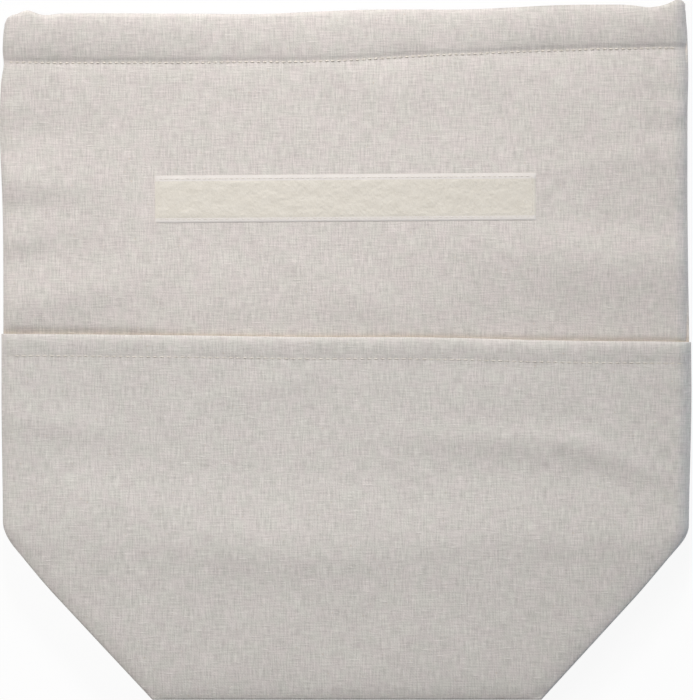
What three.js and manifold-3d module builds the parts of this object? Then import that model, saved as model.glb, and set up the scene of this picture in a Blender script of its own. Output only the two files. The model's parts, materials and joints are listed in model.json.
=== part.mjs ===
// Insulated bento bag with a roll-down mouth, folded flat and lying on its back.
// Millimetres. X is the bag's width, +Y runs from the base to the mouth, +Z is up, out of the front.
// The origin is on the resting surface, under the middle of the flat outline.
import * as THREE from "three";
import { mergeVertices } from "three/addons/utils/BufferGeometryUtils.js";
import Module from "manifold-3d";

// Flat outline
const FLAT_WIDTH = 290;
const FLAT_HEIGHT = 290;
const BASE_WIDTH = 165; // width of the bottom edge, between the two slanted corner folds
const CORNER_RISE = 69; // height of a slanted corner fold
const CORNER_ROUNDING = 9; // how far from the corner its round begins

// Plies of one padded wall, and the clear space between the two walls
const CLOTH = 0.9;
const FOAM = 1.6;
const FILM = 0.5;
const PLY_GAP = 0.2;
const HOLLOW = 5.2;

// Roll-down mouth: the rim folds onto the roll, and both fold onto the collar
const RIM_DEPTH = 33;
const ROLL_DEPTH = 33;
const COLLAR_DEPTH = 39;
const FOLD_GAP = 0.6; // between two neighbouring stretches of wall
const HEM_DEPTH = 19;
const HEM_PROUD = 0.5; // the doubled hem stands this far out of the wall
const STITCH_GROOVE = 0.35;
const STITCH_WIDTH = 1.6;

// Hook and loop tape
const TAPE_LENGTH = 160;
const TAPE_WIDTH = 20;
const LOOP_THICKNESS = 1.2;
const HOOK_THICKNESS = 0.9;
const LOOP_DROP = 3.4; // from the lower fold line to the loop tape
const TAPE_ROUNDING = 1;
const SEAT_GAP = 0.2;

// Front pocket
const POCKET_HEIGHT = 151.5;
const POCKET_HEM_DEPTH = 9;
const POCKET_HEM_THICKNESS = 1.7;
const POCKET_CLEARANCE = 0.3;

// Side seams, base gusset and corner tucks
const SEAM_WIDTH = 4;
const SEAM_CLEARANCE = 0.3;
const SEAM_SHARPNESS = 2.6; // exponent of the seam's rounded outer edge
const GUSSET_CLOTH = 1.4;
const GUSSET_DEPTH = 62.5; // half of the base's depth
const GUSSET_SIDE_GAP = 1.5;
const EDGE_SETBACK = 1; // gusset and tucks stay this far inside the outline

const CURVE_STEPS = 6;

// Heights of the lines that divide the bag
const TOP = FLAT_HEIGHT / 2;
const BOTTOM = -FLAT_HEIGHT / 2;
const RIM_FOLD = TOP - RIM_DEPTH;
const ROLL_FOLD = RIM_FOLD - ROLL_DEPTH;
const FILL_FOLD = ROLL_FOLD - COLLAR_DEPTH;
const CORNER = BOTTOM + CORNER_RISE;
const SLOPE = CORNER_RISE / ((FLAT_WIDTH - BASE_WIDTH) / 2);

// Levels of the plies above the resting surface
const WALL = CLOTH + FOAM + FILM + 2 * PLY_GAP;
const THICKNESS = 2 * WALL + HOLLOW;
const WALL_HALF_WIDTH = FLAT_WIDTH / 2 - SEAM_WIDTH;

const LINEN = material(0xcdc6bf, 0.95);
const POCKET_LINEN = material(0xc6bfb8, 0.95);
const PADDING = material(0xf2f1ee, 0.9);
const LINING = material(0xc9ccce, 0.35, 0.6);
const LOOP_PILE = material(0xdcd6c8, 1);
const HOOK_PILE = material(0xd8d2c4, 0.7);

const wasm = await Module();
wasm.setup();

function material(color, roughness, metalness = 0) {
  return new THREE.MeshStandardMaterial({ color, roughness, metalness });
}

function toSolid(geometry) {
  const bare = geometry.clone();
  bare.deleteAttribute("normal");
  bare.deleteAttribute("uv");
  const merged = mergeVertices(bare, 1e-4);
  return new wasm.Manifold(
    new wasm.Mesh({
      numProp: 3,
      vertProperties: merged.attributes.position.array,
      triVerts: new Uint32Array(merged.index.array),
    }),
  );
}

function toGeometry(solid) {
  const mesh = solid.getMesh();
  const geometry = new THREE.BufferGeometry();
  geometry.setAttribute("position", new THREE.BufferAttribute(mesh.vertProperties, 3));
  geometry.setIndex(new THREE.BufferAttribute(mesh.triVerts, 1));
  geometry.computeVertexNormals();
  return geometry;
}

// Half of the outline's width at a height, with the straight sides drawn in by an inset
function halfWidth(y, inset) {
  const onSlant = BASE_WIDTH / 2 + (y - BOTTOM) / SLOPE;
  return Math.min(FLAT_WIDTH / 2 - inset, onSlant);
}

// The flat outline between two heights, with the slanted corners where it reaches them
function outline(low, high, inset) {
  const shape = new THREE.Shape();
  const lowHalf = halfWidth(low, inset);
  const highHalf = halfWidth(high, inset);
  const turn = CORNER - inset * SLOPE;
  const turnHalf = halfWidth(turn, inset);
  const hasCorner = low < turn - CORNER_ROUNDING && high > turn + CORNER_ROUNDING;
  const belowHalf = halfWidth(turn - CORNER_ROUNDING, inset);
  shape.moveTo(-lowHalf, low);
  shape.lineTo(lowHalf, low);
  if (hasCorner) {
    shape.lineTo(belowHalf, turn - CORNER_ROUNDING);
    shape.quadraticCurveTo(turnHalf, turn, turnHalf, turn + CORNER_ROUNDING);
  }
  shape.lineTo(highHalf, high);
  shape.lineTo(-highHalf, high);
  if (hasCorner) {
    shape.lineTo(-turnHalf, turn + CORNER_ROUNDING);
    shape.quadraticCurveTo(-turnHalf, turn, -belowHalf, turn - CORNER_ROUNDING);
  }
  shape.closePath();
  return shape;
}

function raise(shape, base, height) {
  const geometry = new THREE.ExtrudeGeometry(shape, {
    depth: height,
    bevelEnabled: false,
    curveSegments: CURVE_STEPS,
  });
  return geometry.translate(0, 0, base);
}

// A profile drawn in Y and Z, swept across the width
function sweepAcross(profile, width) {
  const geometry = new THREE.ExtrudeGeometry(profile, {
    depth: width,
    bevelEnabled: false,
    curveSegments: CURVE_STEPS,
  });
  const basis = new THREE.Matrix4().makeBasis(
    new THREE.Vector3(0, 1, 0),
    new THREE.Vector3(0, 0, 1),
    new THREE.Vector3(1, 0, 0),
  );
  return geometry.applyMatrix4(basis).translate(-width / 2, 0, 0);
}

function polygon(points) {
  const shape = new THREE.Shape();
  points.forEach(([u, v], i) => (i ? shape.lineTo(u, v) : shape.moveTo(u, v)));
  shape.closePath();
  return shape;
}

const bag = new THREE.Group();

function add(name, geometry, look) {
  const mesh = new THREE.Mesh(geometry, look);
  mesh.name = name;
  bag.add(mesh);
  return mesh;
}

// Level of a ply's lower face: the plies of the back wall count up from the resting surface,
// and those of the front wall count down from the front face.
function plyBase(side, distance, thickness) {
  return side === "back" ? distance : THICKNESS - distance - thickness;
}

// Cloth, padding and lining of one plain stretch of wall
function wallPlies(name, side, low, high) {
  const plies = [
    ["shell", 0, CLOTH, LINEN],
    ["padding", CLOTH + PLY_GAP, FOAM, PADDING],
    ["lining", CLOTH + FOAM + 2 * PLY_GAP, FILM, LINING],
  ];
  for (const [ply, distance, thickness, look] of plies) {
    const base = plyBase(side, distance, thickness);
    add(`${name}_${ply}`, raise(outline(low, high, SEAM_WIDTH), base, thickness), look);
  }
}

// One rim wall: the cloth goes over the padding and the lining at the mouth and down inside as a hem,
// held by a row of stitching that draws it into a groove.
function rimProfile(low, proud) {
  const stitch = TOP - HEM_DEPTH;
  const half = STITCH_WIDTH / 2;
  return polygon([
    [low, 0],
    [stitch - half, 0],
    [stitch, STITCH_GROOVE],
    [stitch + half, -proud],
    [TOP - WALL / 2, -proud],
    [TOP, WALL / 3],
    [TOP, (2 * WALL) / 3],
    [TOP - WALL / 3, WALL],
    [stitch, WALL],
    [stitch, WALL - CLOTH],
    [TOP - CLOTH - PLY_GAP, WALL - CLOTH],
    [TOP - CLOTH - PLY_GAP, CLOTH],
    [low, CLOTH],
  ]);
}

function addRim(side) {
  const low = RIM_FOLD + FOLD_GAP / 2;
  const inside = TOP - CLOTH - 2 * PLY_GAP;
  const stitch = TOP - HEM_DEPTH;
  const width = 2 * WALL_HALF_WIDTH;
  const proud = side === "front" ? HEM_PROUD : 0;
  let shell = toSolid(sweepAcross(rimProfile(low, proud), width));
  if (side === "front") shell = shell.mirror([0, 0, 1]).translate([0, 0, THICKNESS]);
  if (side === "back") shell = shell.subtract(toSolid(hookSeat()));
  add(`rim_${side}_shell`, toGeometry(shell), LINEN);
  const padThickness = WALL - 2 * (CLOTH + PLY_GAP);
  const padBase = plyBase(side, CLOTH + PLY_GAP, padThickness);
  add(`rim_${side}_padding`, raise(outline(low, inside, SEAM_WIDTH), padBase, padThickness), PADDING);
  const filmBase = plyBase(side, CLOTH + FOAM + 2 * PLY_GAP, FILM);
  const filmTop = stitch - SEAM_CLEARANCE;
  add(`rim_${side}_lining`, raise(outline(low, filmTop, SEAM_WIDTH), filmBase, FILM), LINING);
}

// A side seam: the turned edges of both walls, rounded outside, along one stretch of the bag
// and trimmed to the outline, so that the lowest one follows the rounded corner
function addSeams(name, low, high) {
  const half = (THICKNESS - 2 * PLY_GAP) / 2;
  const middle = THICKNESS / 2;
  const reach = SEAM_WIDTH - SEAM_CLEARANCE;
  const steps = 2 * CURVE_STEPS;
  for (const [label, sign] of [["left", -1], ["right", 1]]) {
    const points = [];
    for (let i = 0; i <= steps; i += 1) {
      const angle = -Math.PI / 2 + (Math.PI * i) / steps;
      const power = 2 / SEAM_SHARPNESS;
      const out = Math.abs(Math.cos(angle)) ** power;
      const up = Math.sign(Math.sin(angle)) * Math.abs(Math.sin(angle)) ** power;
      points.push([FLAT_WIDTH / 2 - reach + reach * out, middle + half * up]);
    }
    const profile = polygon(points.map(([x, z]) => [sign * x, z]));
    const geometry = new THREE.ExtrudeGeometry(profile, {
      depth: high - low,
      bevelEnabled: false,
    });
    geometry.rotateX(Math.PI / 2).translate(0, high, 0);
    const trimmed = toSolid(geometry).intersect(toSolid(raise(outline(BOTTOM, TOP, 0), 0, THICKNESS)));
    add(`${name}_seam_${label}`, toGeometry(trimmed), LINEN);
  }
}

// Tapes
function tapeOutline(middle, grow) {
  const half = TAPE_LENGTH / 2 + grow;
  const low = middle - TAPE_WIDTH / 2 - grow;
  const high = middle + TAPE_WIDTH / 2 + grow;
  const r = TAPE_ROUNDING;
  const shape = new THREE.Shape();
  shape.moveTo(-half + r, low);
  shape.lineTo(half - r, low);
  shape.absarc(half - r, low + r, r, -Math.PI / 2, 0);
  shape.lineTo(half, high - r);
  shape.absarc(half - r, high - r, r, 0, Math.PI / 2);
  shape.lineTo(-half + r, high);
  shape.absarc(-half + r, high - r, r, Math.PI / 2, Math.PI);
  shape.lineTo(-half, low + r);
  shape.absarc(-half + r, low + r, r, Math.PI, 1.5 * Math.PI);
  return shape;
}

const LOOP_MIDDLE = ROLL_FOLD - LOOP_DROP - TAPE_WIDTH / 2;
// Two folds of the roll carry the hook tape down onto the loop tape.
const HOOK_MIDDLE = LOOP_MIDDLE + 2 * ROLL_DEPTH;

// The hook tape is sunk into the hem's cloth and padding, flush with the back.
function hookSeat() {
  return raise(tapeOutline(HOOK_MIDDLE, SEAT_GAP), -CLOTH, CLOTH + HOOK_THICKNESS - PLY_GAP);
}

// Pocket: one cloth, doubled at its mouth, that reaches out over the side seams
function pocketPanel() {
  const low = BOTTOM;
  const high = BOTTOM + POCKET_HEIGHT;
  const base = THICKNESS + POCKET_CLEARANCE;
  const hem = high - POCKET_HEM_DEPTH;
  const half = STITCH_WIDTH / 2;
  const lip = POCKET_HEM_THICKNESS / 3;
  const profile = polygon([
    [low, base],
    [high - lip, base],
    [high, base + lip],
    [high, base + 2 * lip],
    [high - lip, base + POCKET_HEM_THICKNESS],
    [hem + half, base + POCKET_HEM_THICKNESS],
    [hem, base + CLOTH - STITCH_GROOVE],
    [hem - half, base + CLOTH],
    [low, base + CLOTH],
  ]);
  const cloth = toSolid(sweepAcross(profile, FLAT_WIDTH));
  const cut = raise(outline(low, high, 0), 0, base + 2 * POCKET_HEM_THICKNESS);
  return toGeometry(cloth.intersect(toSolid(cut)));
}

// Levels of the two leaves of cloth that are folded up between the walls
const LEAF_LOW = WALL + PLY_GAP;
const LEAF_HIGH = THICKNESS - WALL - PLY_GAP;

// The base, folded up inside as two leaves that meet in a ridge
function baseGusset() {
  const low = BOTTOM + EDGE_SETBACK;
  const ridge = BOTTOM + GUSSET_DEPTH;
  const middle = (LEAF_LOW + LEAF_HIGH) / 2;
  const turn = (LEAF_HIGH - LEAF_LOW) / 2;
  const profile = new THREE.Shape();
  profile.moveTo(low, LEAF_LOW);
  profile.lineTo(ridge - turn, LEAF_LOW);
  profile.absarc(ridge - turn, middle, turn, -Math.PI / 2, Math.PI / 2);
  profile.lineTo(low, LEAF_HIGH);
  profile.lineTo(low, LEAF_HIGH - GUSSET_CLOTH);
  profile.lineTo(ridge - turn, LEAF_HIGH - GUSSET_CLOTH);
  profile.absarc(ridge - turn, middle, turn - GUSSET_CLOTH, Math.PI / 2, -Math.PI / 2, true);
  profile.lineTo(low, LEAF_LOW + GUSSET_CLOTH);
  profile.closePath();
  return sweepAcross(profile, BASE_WIDTH - 2 * EDGE_SETBACK);
}

// A bottom corner of the side, folded in along the slant: two leaves joined along their inner edges
function cornerTuck(sign) {
  const inner = BASE_WIDTH / 2 + GUSSET_SIDE_GAP;
  const outer = WALL_HALF_WIDTH;
  const onSlant = (x) => BOTTOM + EDGE_SETBACK + (x - BASE_WIDTH / 2 + EDGE_SETBACK) * SLOPE;
  const high = onSlant(outer);
  const leaves = [[inner, onSlant(inner)], [outer, high], [inner, high]];
  const between = [
    [inner + GUSSET_CLOTH, BOTTOM],
    [outer, BOTTOM],
    [outer, high - GUSSET_CLOTH],
    [inner + GUSSET_CLOTH, high - GUSSET_CLOTH],
  ];
  const mirrored = (points) => polygon(points.map(([x, y]) => [sign * x, y]));
  const depth = LEAF_HIGH - LEAF_LOW;
  const block = toSolid(raise(mirrored(leaves), LEAF_LOW, depth));
  const slot = toSolid(raise(mirrored(between), LEAF_LOW + GUSSET_CLOTH, depth - 2 * GUSSET_CLOTH));
  return toGeometry(block.subtract(slot));
}

wallPlies("back", "back", BOTTOM, ROLL_FOLD - FOLD_GAP / 2);
wallPlies("collar", "front", FILL_FOLD + FOLD_GAP / 2, ROLL_FOLD - FOLD_GAP / 2);
wallPlies("front", "front", BOTTOM, FILL_FOLD - FOLD_GAP / 2);
for (const side of ["front", "back"]) {
  wallPlies(`roll_${side}`, side, ROLL_FOLD + FOLD_GAP / 2, RIM_FOLD - FOLD_GAP / 2);
  addRim(side);
}
addSeams("side", CORNER - CORNER_ROUNDING / 2, ROLL_FOLD - FOLD_GAP / 2);
addSeams("roll", ROLL_FOLD + FOLD_GAP / 2, RIM_FOLD - FOLD_GAP / 2);
addSeams("rim", RIM_FOLD + FOLD_GAP / 2, TOP - SEAM_WIDTH / 2);
add("loop_tape", raise(tapeOutline(LOOP_MIDDLE, 0), THICKNESS + SEAT_GAP, LOOP_THICKNESS), LOOP_PILE);
add("hook_tape", raise(tapeOutline(HOOK_MIDDLE, 0), 0, HOOK_THICKNESS - 2 * SEAT_GAP), HOOK_PILE);
add("pocket_panel", pocketPanel(), POCKET_LINEN);
add("base_gusset", baseGusset(), LINEN);
add("corner_tuck_left", cornerTuck(-1), LINEN);
add("corner_tuck_right", cornerTuck(1), LINEN);

export default bag;
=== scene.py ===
# Looks of a flat, padded linen bento bag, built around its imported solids.
# Shapes are worked out in millimetres and become metres when a mesh is made.
import json
import math

import bpy
import numpy as np
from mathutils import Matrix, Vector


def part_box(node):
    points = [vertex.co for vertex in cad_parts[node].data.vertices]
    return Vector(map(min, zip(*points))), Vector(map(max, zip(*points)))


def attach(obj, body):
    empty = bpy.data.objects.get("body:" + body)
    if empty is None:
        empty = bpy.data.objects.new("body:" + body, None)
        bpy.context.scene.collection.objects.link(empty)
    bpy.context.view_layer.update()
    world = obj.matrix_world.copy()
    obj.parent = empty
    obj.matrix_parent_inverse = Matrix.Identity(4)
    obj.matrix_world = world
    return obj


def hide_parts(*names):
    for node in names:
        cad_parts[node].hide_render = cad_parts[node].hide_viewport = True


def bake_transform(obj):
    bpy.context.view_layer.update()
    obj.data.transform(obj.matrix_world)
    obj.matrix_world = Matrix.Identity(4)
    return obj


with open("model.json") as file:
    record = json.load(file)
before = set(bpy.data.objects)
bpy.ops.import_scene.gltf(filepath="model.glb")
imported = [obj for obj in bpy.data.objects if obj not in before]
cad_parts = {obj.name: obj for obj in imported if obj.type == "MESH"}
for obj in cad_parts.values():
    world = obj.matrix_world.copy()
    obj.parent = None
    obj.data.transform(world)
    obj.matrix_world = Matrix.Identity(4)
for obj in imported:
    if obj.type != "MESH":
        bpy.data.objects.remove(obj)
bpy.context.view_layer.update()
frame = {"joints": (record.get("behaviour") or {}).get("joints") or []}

MM = 0.001
scene = bpy.context.scene


def placed(name, data):
    holder = bpy.data.objects.new(name, data)
    scene.collection.objects.link(holder)
    return holder


def box_mm(node):
    low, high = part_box(node)
    return np.array(low) / MM, np.array(high) / MM


def joint_mm(name):
    joint = next(j for j in frame["joints"] if j["name"] == name)
    return np.array(joint["pos_m"]) / MM


# Places taken from the frame
BOTTOM = box_mm("back_shell")[0][1]
TOP = box_mm("rim_front_shell")[1][1]
FRONT = box_mm("front_shell")[1][2]
MIDDLE = FRONT / 2
HALF_WIDTH, POCKET_TOP, _ = box_mm("pocket_panel")[1]
GUSSET_HALF, RIDGE, _ = box_mm("base_gusset")[1]
GUSSET_SETBACK = 1.0
BASE_HALF = GUSSET_HALF + GUSSET_SETBACK
LOOP_LOW, LOOP_HIGH = box_mm("loop_tape")
HOOK_LOW, HOOK_HIGH = box_mm("hook_tape")
LOWER_FOLD = joint_mm("roll_lower")
UPPER_FOLD = joint_mm("roll_upper")
FILL_FOLD = joint_mm("fill")

# Where the cloth is divided between two folds
LOWER_CUT = (FILL_FOLD[1] + LOWER_FOLD[1]) / 2
UPPER_CUT = (LOWER_FOLD[1] + UPPER_FOLD[1]) / 2

# Outline
CORNER_RISE = 69.0
CORNER = BOTTOM + CORNER_RISE
SLOPE = CORNER_RISE / (HALF_WIDTH - BASE_HALF)
HEM_DEPTH = 19.0
HEM_LEVEL = TOP - HEM_DEPTH

# Padded walls: thickness, then how far and how near an edge they drop, swell and roll over
PAD_HALF = 1.35
PAD_CENTRE = FRONT - PAD_HALF
LIP_HALF = 1.75
LIP_RAMP = 3.0
EDGE_ROUND = 1.7
SIDE_REACH = 2.1
SIDE_DROP = 2.7
SIDE_SWELL = 0.2
FOLD_TOP = CORNER + 6.0
FOLD_RAMP = 16.0
FOLD_ROUND = 0.7
FOLD_REACH = 1.9
FOLD_DROP = 1.55
FOLD_ROLL = 1.35
ROLL_REACH = 3.6
BASE_ROUND = 6.0
BASE_SEAM = 1.9
INNER_DENT = 0.5
LINING_GAP = 0.2
LINING_THICKNESS = 0.5

# Mesh steps
GRID = 1.9
FINE_GRID = 0.4
HEM_FINE = 6
MOUTH_FINE = (4, 6)
ROUND_STEPS = 6
ROUND_ANGLES = np.linspace(math.radians(9), math.pi / 2, ROUND_STEPS)
ROUND_SINE = np.sin(ROUND_ANGLES)
ROUND_INSET = 1 - np.cos(ROUND_ANGLES)

NOISE_CELLS = 127
NOISE_SHIFT = (61.37, 61.71)


def smooth_step(t):
    t = np.clip(t, 0, 1)
    return t * t * (3 - 2 * t)


def smooth_min(a, b, reach):
    nearness = np.clip(1 - np.abs(a - b) / reach, 0, 1)
    return np.minimum(a, b) - nearness * nearness * reach / 4


def bell(t):
    return np.exp(-t * t)


def fade(distance, reach):
    return np.exp(-np.maximum(distance, 0) / reach)


def bumps(t, rows):
    """Sum of bell-shaped bumps. rows is [(middle, reach, height)]."""
    return sum(height * bell((t - middle) / reach) for middle, reach, height in rows)


def ramps(t, rows):
    """Sum of smooth steps. rows is [(start, run, height)]. A negative run climbs backwards."""
    return sum(height * smooth_step((t - start) / run) for start, run, height in rows)


def soft_noise(x, y, size, seed):
    """Smooth noise from -1 to 1, with features of about the given size in millimetres."""
    lattice = np.random.default_rng(seed).uniform(-1, 1, (NOISE_CELLS + 1, NOISE_CELLS + 1))
    u, v = np.asarray(x) / size + NOISE_SHIFT[0], np.asarray(y) / size + NOISE_SHIFT[1]
    i, j = np.floor(u).astype(int), np.floor(v).astype(int)
    s, t = u - i, v - j
    s = s * s * s * (s * (s * 6 - 15) + 10)
    t = t * t * t * (t * (t * 6 - 15) + 10)
    i, j = i % NOISE_CELLS, j % NOISE_CELLS
    low = lattice[i, j] * (1 - s) + lattice[i + 1, j] * s
    high = lattice[i, j + 1] * (1 - s) + lattice[i + 1, j + 1] * s
    return low * (1 - t) + high * t


def noises(x, y, rows):
    """Sum of soft noise. rows is [(height, size, seed)]."""
    return sum(height * soft_noise(x, y, size, seed) for height, size, seed in rows)


def xyz(x, y, z):
    return np.stack(np.broadcast_arrays(x, y, z), -1)


# Outline of the soft bag. Each side: reach, bumps and ramps of the sewn edge, then the inset, lean and
# ramps of the slant, and the rounding of the corner between them.
SIDES = {
    -1: (144.1, ((125, 5, -0.8), (TOP, 6, -0.5), (98, 30, 1.5)), ((-20, -50, -0.6),),
         1.0, 1.03, ((-102, 32, -2.5),), 5.0),
    1: (143.6, ((116, 9, 0.35),), ((70, -90, 0.9), (130, 13, -0.8), (-15, -60, -1.1)),
        0.3, 1.012, ((-104, 28, -1.5),), 4.0),
}
TOP_LEVEL = 143.2
TOP_BUMPS = ((-134, 3.0, 1.5), (-126, 4.0, -0.7), (-144, 6.0, -0.8), (140, 4.2, 2.6), (127, 5.0, -0.9))
TOP_RAMPS = ((-40, 60, 1.7), (45, 50, 2.0))
TOP_RIPPLE = ((0.25, 30, 3),)
LEFT_END, LEFT_END_DROP = -143.6, 3.5
RIGHT_END, RIGHT_END_DROP = 144.0, 3.2
END_REACH = 1.0
STITCH_LEVEL = 122.3
STITCH_RISE = 7.6
STITCH_RUN = 75
STITCH_TURN = 24
STITCH_WANDER = ((0.2, 40, 4), (0.16, 11, 6))
MOUTH_LEVEL = 7.2
MOUTH_TILT = 0.0125
MOUTH_SAG, MOUTH_SAG_RUN = 0.4, 120
MOUTH_WANDER = ((0.35, 55, 5),)


def half_width(y, sign):
    reach, side_bumps, side_ramps, inset, lean, slant_ramps, rounding = SIDES[sign]
    side = reach + bumps(y, side_bumps) + ramps(y, side_ramps)
    slant = BASE_HALF - inset + lean * (y - BOTTOM) / SLOPE + ramps(y, slant_ramps)
    return smooth_min(side, slant, rounding)


def top_edge(x):
    ends = LEFT_END_DROP * fade(x - LEFT_END, END_REACH) + RIGHT_END_DROP * fade(RIGHT_END - x, END_REACH)
    return TOP_LEVEL + ramps(x, TOP_RAMPS) + bumps(x, TOP_BUMPS) - ends + noises(x, 0 * x, TOP_RIPPLE)


def hem_line(x):
    past = 0.5 * (x + np.hypot(x, STITCH_TURN))
    return STITCH_LEVEL + STITCH_RISE * (1 - fade(past, STITCH_RUN)) + noises(x, 0 * x, STITCH_WANDER)


def rows_to_heights(level, x):
    """Rows moved to follow the hem's tilted stitching and the wavy top edge."""
    stitch, top = hem_line(x), top_edge(x)
    below = UPPER_CUT + (level - UPPER_CUT) * (stitch - UPPER_CUT) / (HEM_LEVEL - UPPER_CUT)
    above = stitch + (level - HEM_LEVEL) * (top - stitch) / (TOP - HEM_LEVEL)
    return np.where(level < UPPER_CUT, level, np.where(level < HEM_LEVEL, below, above))


def pocket_mouth(x):
    sag = MOUTH_SAG * (x / MOUTH_SAG_RUN) ** 2
    return MOUTH_LEVEL - MOUTH_TILT * x - sag + noises(x, 0 * x, MOUTH_WANDER)


# Shape of one wall. Its middle level and half thickness depend on how near the edges are.
def fold_share(y):
    """1 along the folded slants and the bottom edge, 0 along the sewn sides."""
    return smooth_step((FOLD_TOP - y) / FOLD_RAMP)


def edge_radius(y):
    return EDGE_ROUND + (FOLD_ROUND - EDGE_ROUND) * fold_share(y)


def wall_section(x, y):
    across = np.minimum(x + half_width(y, -1), half_width(y, 1) - x)
    folded = fold_share(y)
    by_side = bell(across / SIDE_REACH) * (1 - folded)
    edge = smooth_min(across / math.hypot(1, 1 / SLOPE), y - BOTTOM, BASE_ROUND)
    by_fold = bell(edge / FOLD_REACH) * folded
    roll = FOLD_ROLL * fade(edge, ROLL_REACH) * folded
    hem = smooth_step((y - hem_line(x)) / LIP_RAMP + 0.5)
    lip = (LIP_HALF - PAD_HALF) * hem * (1 - by_side)
    centre = PAD_CENTRE - SIDE_DROP * by_side - FOLD_DROP * by_fold - lip - roll / 2
    half = PAD_HALF + SIDE_SWELL * by_side + FOLD_DROP * by_fold + lip - roll / 2
    return centre, half


# Hem: how its face leans and tilts along the bag, and what the stitching draws in
HEM_LEAN = 0.55
HEM_LEAN_BUMPS = ((-112, 56, 0.9), (118, 56, 0.5))
HEM_TILT_BUMPS = ((-145, 90, 1.5), (140, 25, 0.7))
HEM_CREST = 0.75
HEM_STEP = ((0.3, 2.5, 0.25),)
HEM_ROLL, HEM_ROLL_REACH = 1.7, 3.2
HEM_PULL_NOISE = ((0.2, 9, 11),)
HEM_PULL_BUMPS = ((72, 70, 0.2),)
PUCKER_NOISE = ((0.24, 6.0, 12),)
PUCKER_LENGTH, PUCKER_REACH = 4, 6
STITCH_GROOVE, GROOVE_REACH = 0.08, 1.5
HEM_GROOVE = ((0, 4.0, 0.36),)
HEM_SAG = ((40, 60, 0.9),)
HEM_SAG_REACH = 10


def hem_relief(x, y):
    """The hem rolls over at its top and leans down to the groove of its stitching."""
    stitch, top = hem_line(x), top_edge(x)
    over = y - stitch
    along = np.clip(over / (top - stitch), 0, 1)
    lean = HEM_LEAN + bumps(x, HEM_LEAN_BUMPS)
    crest = np.sin(math.pi / 2 * np.clip(along / HEM_CREST, 0, 1))
    rise = lean * crest + bumps(x, HEM_TILT_BUMPS) * along
    roll = HEM_ROLL * fade(top - y, HEM_ROLL_REACH)
    pull = 1 + noises(x, 0 * x, HEM_PULL_NOISE) + bumps(x, HEM_PULL_BUMPS)
    puckers = noises(x, y / PUCKER_LENGTH, PUCKER_NOISE) * bell(over / PUCKER_REACH)
    groove = STITCH_GROOVE * bell((over / GROOVE_REACH) ** 2) + bumps(over, HEM_GROOVE)
    sag = ramps(x, HEM_SAG) * bell(np.maximum(-over, 0) / HEM_SAG_REACH)
    return rise + ramps(over, HEM_STEP) - roll - groove * pull - sag + puckers


# Soft folds: (x, y, half length, half width, tilt in degrees, height), in millimetres
FRONT_FOLDS = (
    (-146, 92, 44, 7.5, 0, -0.75),
    (-142, 73, 34, 6.5, -6, 0.9),
    (-146, 60, 26, 5, 3, -0.52),
    (-146, 47, 24, 4.6, 7, 0.56),
    (-140, 38, 30, 5.5, 13, -0.58),
    (-122, 23, 42, 7.5, 12, 0.72),
    (-146, 104, 16, 3, 0, 0.22),
    (-146, 85, 11, 2.2, 3, -0.38),
    (-146, 66, 9, 2.2, 0, 0.3),
    (146, 110, 15, 2.6, 0, -0.38),
    (146, 103, 15, 3, 0, 0.38),
    (146, 95, 18, 3.2, 0, -0.44),
    (146, 84, 34, 5, 8, 0.38),
    (103, 81, 30, 3.4, 11, 0.28),
    (135, 55, 46, 9, 0, -0.52),
    (96, 41, 60, 12, -5, 1.08),
    (44, 78, 42, 13, 6, 0.3),
    (25, 112, 30, 7, 0, 0.34),
    (12, 22, 36, 8, -22, 0.38),
)
POCKET_FOLDS = (
    (70, -36, 46, 6.5, -3, 0.9),
    (116, -45, 26, 5.5, -22, 0.8),
    (66, -50, 60, 7, -8, -0.16),
    (-126, -29, 34, 6.5, -9, 0.76),
    (-40, -15, 30, 5, 14, 0.32),
    (52, -16, 40, 9, 4, 0.12),
    (-24, -84, 60, 9, -4, 0.62),
    (36, -80, 46, 8, 3, 0.38),
    (-104, -60, 34, 9, -16, 0.56),
    (120, -82, 30, 9, -6, 0.26),
)


def soft_folds(x, y, folds):
    total = 0
    for middle_x, middle_y, length, width, tilt, height in folds:
        c, s = math.cos(math.radians(tilt)), math.sin(math.radians(tilt))
        along = c * (x - middle_x) + s * (y - middle_y)
        over = c * (y - middle_y) - s * (x - middle_x)
        total = total + height * bell(along / length) * bell(over / width)
    return total


# Slack of the padded cloth, the lift over the folded base and the dip under the pocket's mouth
SLACK_NOISE = ((0.16, 46), (0.09, 21), (0.035, 8))
FRONT_SEED, BACK_SEED, POCKET_SEED = 20, 40, 50
BASE_RAMPS = ((-28, -52, 1.2), (-48, -32, 1.7), (-81, -30, -0.1), (-130, -15, -0.2))
BASE_REST = 0.6
MOUTH_RIGHT = ((-20, 130, 1.0),)
MOUTH_LEFT = ((-60, -40, 1.0),)
DIP, DIP_MORE_RIGHT = 0.95, 0.8
DIP_REACH, DIP_REACH_RIGHT = 11, 8
CREASE, CREASE_LEFT, CREASE_RIGHT = 0.05, 0.9, 0.3
CREASE_WIDTH, CREASE_WIDTH_LEFT = 1.6, 1.0
ABOVE_MOUTH = ((-6, 8, 1.0),)

# Back: the groove of its hem, its dents and the recess under the hook tape
BACK_GROOVE = ((0, 1.0, -0.45), (0, 4.0, -0.2))
BACK_DENTS = 0.2
BACK_CLEARANCE = 0.1
HOOK_RECESS = 0.7
HOOK_MARGIN = 1.5
TAPE_EDGE_X = HOOK_HIGH[0] + HOOK_MARGIN


def cloth_relief(x, y, seed):
    """Slack waves and small dents of the padded cloth."""
    return noises(x, y, [(height, size, seed + k) for k, (height, size) in enumerate(SLACK_NOISE)])


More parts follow.
